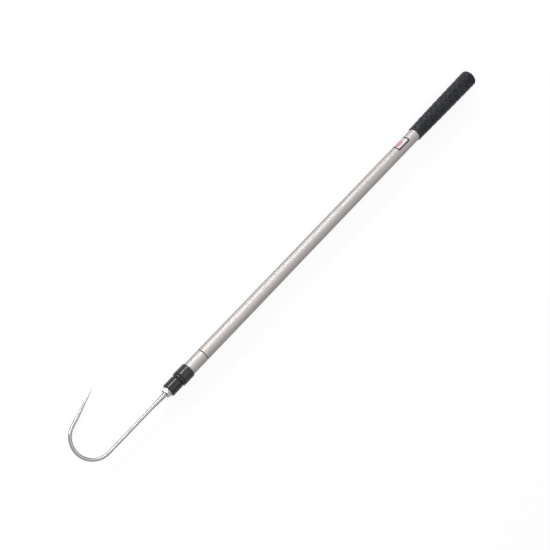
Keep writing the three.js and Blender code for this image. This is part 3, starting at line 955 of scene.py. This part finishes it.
class GAFF_OT_head(bpy.types.Operator):
    """Models the fluted head on the inner tube"""

    bl_idname = "gaff.head"
    bl_label = "Fluted Head"

    def execute(self, context):
        settings = context.scene.gaff_collar
        radius, slope = settings.head_radius, settings.chamfer
        rear, front = COLLAR_HIGH.x + settings.head_gap, HEAD_HIGH.x
        start = rear + settings.neck_length
        head = new_bar("fluted_head", start, front, radius, 240)
        carve(head, self.flute_cutter(settings, start - OVERCUT, front + OVERCUT))
        trim = pointed_bar(
            "trim", start, front, radius - slope, slope + OVERCUT, radius + OVERCUT
        )
        carve(head, trim, "INTERSECT")
        neck, inner = settings.neck_radius, settings.spigot_radius
        spigot = turned("spigot", [
            (HEAD_LOW.x, 0), (HEAD_LOW.x, inner), (rear, inner),
            (rear, neck), (start + OVERCUT, neck), (start + OVERCUT, 0),
        ])
        carve(head, spigot, "UNION")
        insert_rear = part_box("threaded_insert")[0].x
        pocket_rear, hole_rear = insert_rear - 0.2 * MM, insert_rear - 4 * MM
        hole_radius = context.scene.gaff_fastening.hole_radius
        drill_along(head, pocket_rear, front + OVERCUT, settings.pocket_radius)
        drill_along(head, hole_rear, front, hole_radius, 64)
        drill_across(head, "head_pin", context.scene.gaff_hook.turn)
        soften(head, 0.22 * MM)
        tidy(head)
        # The flutes' hollows get dust and painted shade.
        finish = moulded_nylon(settings, "moulded_nylon_head", crest=radius)
        dress(head, finish, "inner_section", "twist_head")
        return {"FINISHED"}

    def flute_cutter(self, settings, rear, front):
        """One round bar, copied round the pole."""
        bar = new_bar("flutes", rear, front, settings.flute_radius, 64)
        lay(bar, (0, 0, settings.head_radius - settings.flute_depth + settings.flute_radius))
        turn_about_pole(bar, settings.flute_turn)
        pitch = 2 * math.pi / settings.flutes
        with editing(bar):
            for _ in range(settings.flutes - 1):
                bpy.ops.mesh.duplicate()
                bpy.ops.transform.rotate(
                    value=pitch, orient_axis="X", center_override=(0, 0, 0)
                )
        return bar


class GAFF_OT_fastening(bpy.types.Operator):
    """Models the washer, the chamfered nut and the hook's ferrule"""

    bl_idname = "gaff.fastening"
    bl_label = "Hook Fastening"

    def execute(self, context):
        settings = context.scene.gaff_fastening
        self.washer(settings)
        self.nut(settings)
        self.ferrule(settings, context.scene.gaff_hook)
        return {"FINISHED"}

    def washer(self, settings):
        """The plain washer under the nut."""
        rear, front = WASHER_LOW.x, WASHER_HIGH.x
        hole, radius = settings.hole_radius, settings.washer_radius
        stations = [(rear, hole), (rear, radius), (front, radius), (front, hole)]
        washer = turned("nut_washer_ring", stations)
        soften(washer, 0.35 * MM, 3)
        finish = self.plated(settings, "plated_washer")
        dress(washer, finish, "inner_section", "nut_washer")

    def nut(self, settings):
        """The hexagon nut, with both its faces chamfered."""
        rear, front = NUT_LOW.x, NUT_HIGH.x
        flat = settings.across_flats / 2
        corner = settings.across_flats / math.sqrt(3)
        slope = (corner + OVERCUT - flat) * math.tan(math.radians(30))
        nut = new_bar("hexagon_nut", rear - OVERCUT, front + OVERCUT, corner, 6)
        turn_about_pole(nut, settings.nut_turn + CORNER_TO_TOP)
        chamfers = pointed_bar("chamfers", rear, front, flat, slope, corner + OVERCUT)
        carve(nut, chamfers, "INTERSECT")
        drill_along(nut, rear - OVERCUT, front + OVERCUT, settings.hole_radius)
        soften(nut, 0.18 * MM)
        tidy(nut)
        finish = self.plated(settings, "plated_nut")
        dress(nut, finish, "inner_section", "lock_nut")

    def ferrule(self, settings, hook):
        """The ferrule: its stem in the head, its nose and the socket for the wire."""
        rear, front = FERRULE_LOW.x, FERRULE_HIGH.x
        root = front - settings.nose_length
        socket = hook.wire_radius + CLEARANCE
        stem, tip = settings.stem_radius, settings.nose_tip
        fillet = 0.5 * MM
        rim = 0.35 * MM
        stations = [
            (rear, 0), (rear, stem - fillet), (rear + fillet, stem), (root, stem),
            (root, settings.nose_root), (root + 3 * MM, settings.nose_root - 0.1 * MM),
            (front - 1.2 * MM, tip + 0.05 * MM),
            *arc(front - rim, tip - rim, rim, rim, 90, 0, 5),
            (front, socket), (front - settings.socket_depth, socket),
            (front - settings.socket_depth, 0),
        ]
        ferrule = turned("hook_ferrule_nose", stations, 96)
        finish = polished_steel("polished_steel_ferrule", hook.steel, hook.roughness)
        dress(ferrule, finish, "inner_section", "hook_ferrule")

    def plated(self, settings, name):
        """The finish of the washer and the nut."""
        return polished_steel(name, settings.plating, settings.plating_roughness)


class GAFF_OT_hook(bpy.types.Operator):
    """Models the hook: a round wire that bends back and is ground to a point"""

    bl_idname = "gaff.hook"
    bl_label = "Hook"

    def execute(self, context):
        settings = context.scene.gaff_hook
        hook = new_ring("hook_wire", HOOK_LOW.x, settings.wire_radius, 40)
        bend = math.pi - settings.flare
        bend_centre = Vector((settings.bend_start, -settings.bend_radius, 0))
        heading = Vector((math.cos(bend), -math.sin(bend), 0))
        outwards = Vector((math.sin(bend), math.cos(bend), 0))
        leg_start = bend_centre + outwards * settings.bend_radius
        straight = settings.leg_length - settings.point_length
        with editing(hook):
            steps = 12
            for _ in range(steps):
                extrude(((settings.bend_start - HOOK_LOW.x) / steps, 0, 0))
            bpy.ops.mesh.spin(steps=72, angle=bend, center=bend_centre, axis=(0, 0, 1))
            self.grind(settings, leg_start, heading, straight)
            pick_edges(hook, on_rim)
            bpy.ops.mesh.edge_face_add()
        tidy(hook)
        self.mark_point(hook, settings, leg_start + heading * straight, heading)
        turn_about_pole(hook, settings.turn)
        finish = polished_steel(
            "polished_steel_hook", settings.steel, settings.roughness, ground_point=True
        )
        dress(hook, finish, "inner_section", "hook")
        return {"FINISHED"}

    def grind(self, settings, centre, heading, straight):
        """Runs the wire's end up the leg and narrows it to the tip."""
        steps = 40
        travelled, radius = 0, settings.wire_radius
        tip = settings.tip_radius
        for i in range(steps + 1):
            along = i / steps
            distance = straight + settings.point_length * along
            next_radius = tip + (settings.wire_radius - tip) * (1 - along) ** settings.fullness
            step = heading * (distance - travelled)
            extrude(step)
            centre = centre + step
            grow = next_radius / radius
            bpy.ops.transform.resize(value=(grow, grow, grow), center_override=centre)
            travelled, radius = distance, next_radius
        extrude(heading * tip * 0.4)
        bpy.ops.mesh.merge(type="CENTER")

    def mark_point(self, hook, settings, start, heading):
        """Marks the ground point in an attribute, from 0 to 1."""
        blend_length = 8 * MM
        ground = hook.data.attributes.new("ground", "FLOAT", "POINT")
        for vertex in hook.data.vertices:
            blend = (vertex.co - start).dot(heading) / blend_length
            on_leg = vertex.co.y < -settings.bend_radius
            ground.data[vertex.index].value = min(1, max(0, blend)) if on_leg else 0


class GAFF_OT_lock(bpy.types.Operator):
    """Finishes the parts of the twist lock and the plugs, which keep their solids"""

    bl_idname = "gaff.lock"
    bl_label = "Twist Lock"

    def execute(self, context):
        settings = context.scene.gaff_collar
        pale = moulded_nylon(settings, "pale_nylon", (0.66, 0.63, 0.55))
        dark = moulded_nylon(settings, "dark_nylon", (0.03, 0.032, 0.035))
        steel = turned_metal("turned_steel", TURNED_STEEL, 0.34)
        brass = turned_metal("turned_brass", (0.56, 0.40, 0.16), 0.30)
        for finish, *nodes in (
            (pale, "guide_bush", "expander_sleeve"),
            (dark, "tube_end_plug", "rear_plug", "expander_cone"),
            (steel, "lock_stud", "thrust_washer", "stop_nut", "rear_plug_pin"),
            (brass, "threaded_insert"),
        ):
            for node in nodes:
                repaint(node, finish)
        return {"FINISHED"}


class GAFF_OT_stage(bpy.types.Operator):
    """Sets up the floor, the soft light and the camera"""

    bl_idname = "gaff.stage"
    bl_label = "Studio"

    def execute(self, context):
        settings = context.scene.gaff_studio
        self.floor(settings)
        self.sky(settings)
        self.lamps(settings)
        self.camera(settings)
        context.scene.view_settings.view_transform = "Standard"
        return {"FINISHED"}

    def floor(self, settings):
        """The white floor, which is clear from below and keeps the gaff's shadow."""
        middle = (0.54, 0, GRIP_LOW.z - 0.02 * MM)
        bpy.ops.mesh.primitive_plane_add(size=60, location=middle)
        floor = settle("floor")
        finish = Finish("floor_paper", Metallic=0.0, Roughness=0.9, Specular_IOR_Level=0.1)
        finish.set(Base_Color=rgba(settings.ground))
        camera, glossy, through = finish.add(
            "ShaderNodeLightPath",
            output=("Is Camera Ray", "Is Glossy Ray", "Is Transmission Ray"),
        )
        lift = camera.at_least(glossy).at_least(through) * settings.ground_lift
        paper = Signal(finish, finish.shader.outputs[0])
        glow = finish.add("ShaderNodeEmission", values={"Color": (1, 1, 1, 1), "Strength": 1.0})
        lifted = finish.add("ShaderNodeMixShader", values=[lift, paper, glow])
        below = finish.add("ShaderNodeNewGeometry", output="Backfacing")
        clear = finish.add("ShaderNodeBsdfTransparent")
        shown = finish.add("ShaderNodeMixShader", values=[below, lifted, clear])
        finish.feed(finish.tree.nodes["Material Output"].inputs["Surface"], shown)
        floor.data.materials.append(finish.material)

    def sky(self, settings):
        """A soft sky over the darker room."""
        world = bpy.data.worlds.new("plain_sky")
        bpy.context.scene.world = world
        world.use_nodes = True
        nodes = Nodes(world.node_tree)
        direction = nodes.add("ShaderNodeTexCoord", output="Generated")
        up = nodes.add("ShaderNodeSeparateXYZ", values=[direction], output="Z")
        light = nodes.mix(
            up.rise(settings.horizon_top / 3, settings.horizon_top),
            settings.horizon, settings.sky,
        )
        nodes.feed(world.node_tree.nodes["Background"].inputs["Color"], light)

    def lamp(self, name, place, target, size, watts):
        """A soft lamp of a length and a width that faces its target, unseen by the camera."""
        direction = (Vector(target) - Vector(place)).normalized()
        bpy.ops.object.light_add(
            type="AREA", location=place, rotation=direction.to_track_quat("-Z", "Y").to_euler()
        )
        lamp = bpy.context.object
        lamp.name = name
        lamp.data.shape = "RECTANGLE"
        lamp.data.size, lamp.data.size_y = size
        lamp.data.energy = watts
        lamp.visible_camera = False

    def lamps(self, settings):
        """Two lamps in line beside the pole, and a wide one overhead."""
        side = -settings.side_distance * math.sin(settings.key_turn)
        up = settings.side_distance * math.cos(settings.key_turn)
        for name, middle, reach, watts in (
            ("long_lamp", 0.75, 2.2, settings.key_power),
            ("end_lamp", -0.8, 0.9, settings.end_power),
        ):
            size = (reach, settings.side_width)
            self.lamp(name, (middle, side, up), (middle, 0, 0), size, watts)
        self.lamp("top_lamp", (0.4, -0.4, 2.6), (0.7, 0, 0), (2.5, 2.0), settings.top_power)

    def camera(self, settings):
        """The camera, at the photograph's place."""
        bpy.ops.object.camera_add(
            location=tuple(settings.camera_place), rotation=tuple(settings.camera_turn)
        )
        camera = bpy.context.object
        camera.name = "camera"
        camera.data.sensor_width = 36
        camera.data.lens = settings.lens
        camera.data.clip_start, camera.data.clip_end = 0.05, 50
        bpy.context.scene.camera = camera


class GAFF_PT_panel(bpy.types.Panel):
    """Lists the gaff's settings and pieces in the sidebar"""

    bl_idname = "GAFF_PT_panel"
    bl_label = "Telescopic Gaff"
    bl_space_type = "VIEW_3D"
    bl_region_type = "UI"
    bl_category = "Gaff"

    def draw(self, context):
        for name, _ in GROUPS:
            box = self.layout.box()
            settings = getattr(context.scene, name)
            for field in settings.__annotations__:
                box.prop(settings, field)
        for operator in PIECES:
            self.layout.operator(operator.bl_idname)


GROUPS = [
    ("gaff_studio", StudioSettings),
    ("gaff_grip", GripSettings),
    ("gaff_tube", TubeSettings),
    ("gaff_label", LabelSettings),
    ("gaff_collar", CollarSettings),
    ("gaff_fastening", FasteningSettings),
    ("gaff_hook", HookSettings),
]
PIECES = [
    GAFF_OT_stage, GAFF_OT_grip, GAFF_OT_tubes, GAFF_OT_label, GAFF_OT_collar,
    GAFF_OT_head, GAFF_OT_fastening, GAFF_OT_hook, GAFF_OT_lock,
]


def register():
    """Registers the settings, the operators and the panel."""
    for name, group in GROUPS:
        bpy.utils.register_class(group)
        setattr(bpy.types.Scene, name, PointerProperty(type=group))
    for cls in [*PIECES, GAFF_PT_panel]:
        bpy.utils.register_class(cls)


def unregister():
    """Takes away what register adds."""
    for cls in reversed([*PIECES, GAFF_PT_panel]):
        bpy.utils.unregister_class(cls)
    for name, group in reversed(GROUPS):
        delattr(bpy.types.Scene, name)
        bpy.utils.unregister_class(group)


def main():
    """Makes every piece in order."""
    register()
    for piece in PIECES:
        category, name = piece.bl_idname.split(".")
        getattr(getattr(bpy.ops, category), name)()


if __name__ == "__main__":
    main()
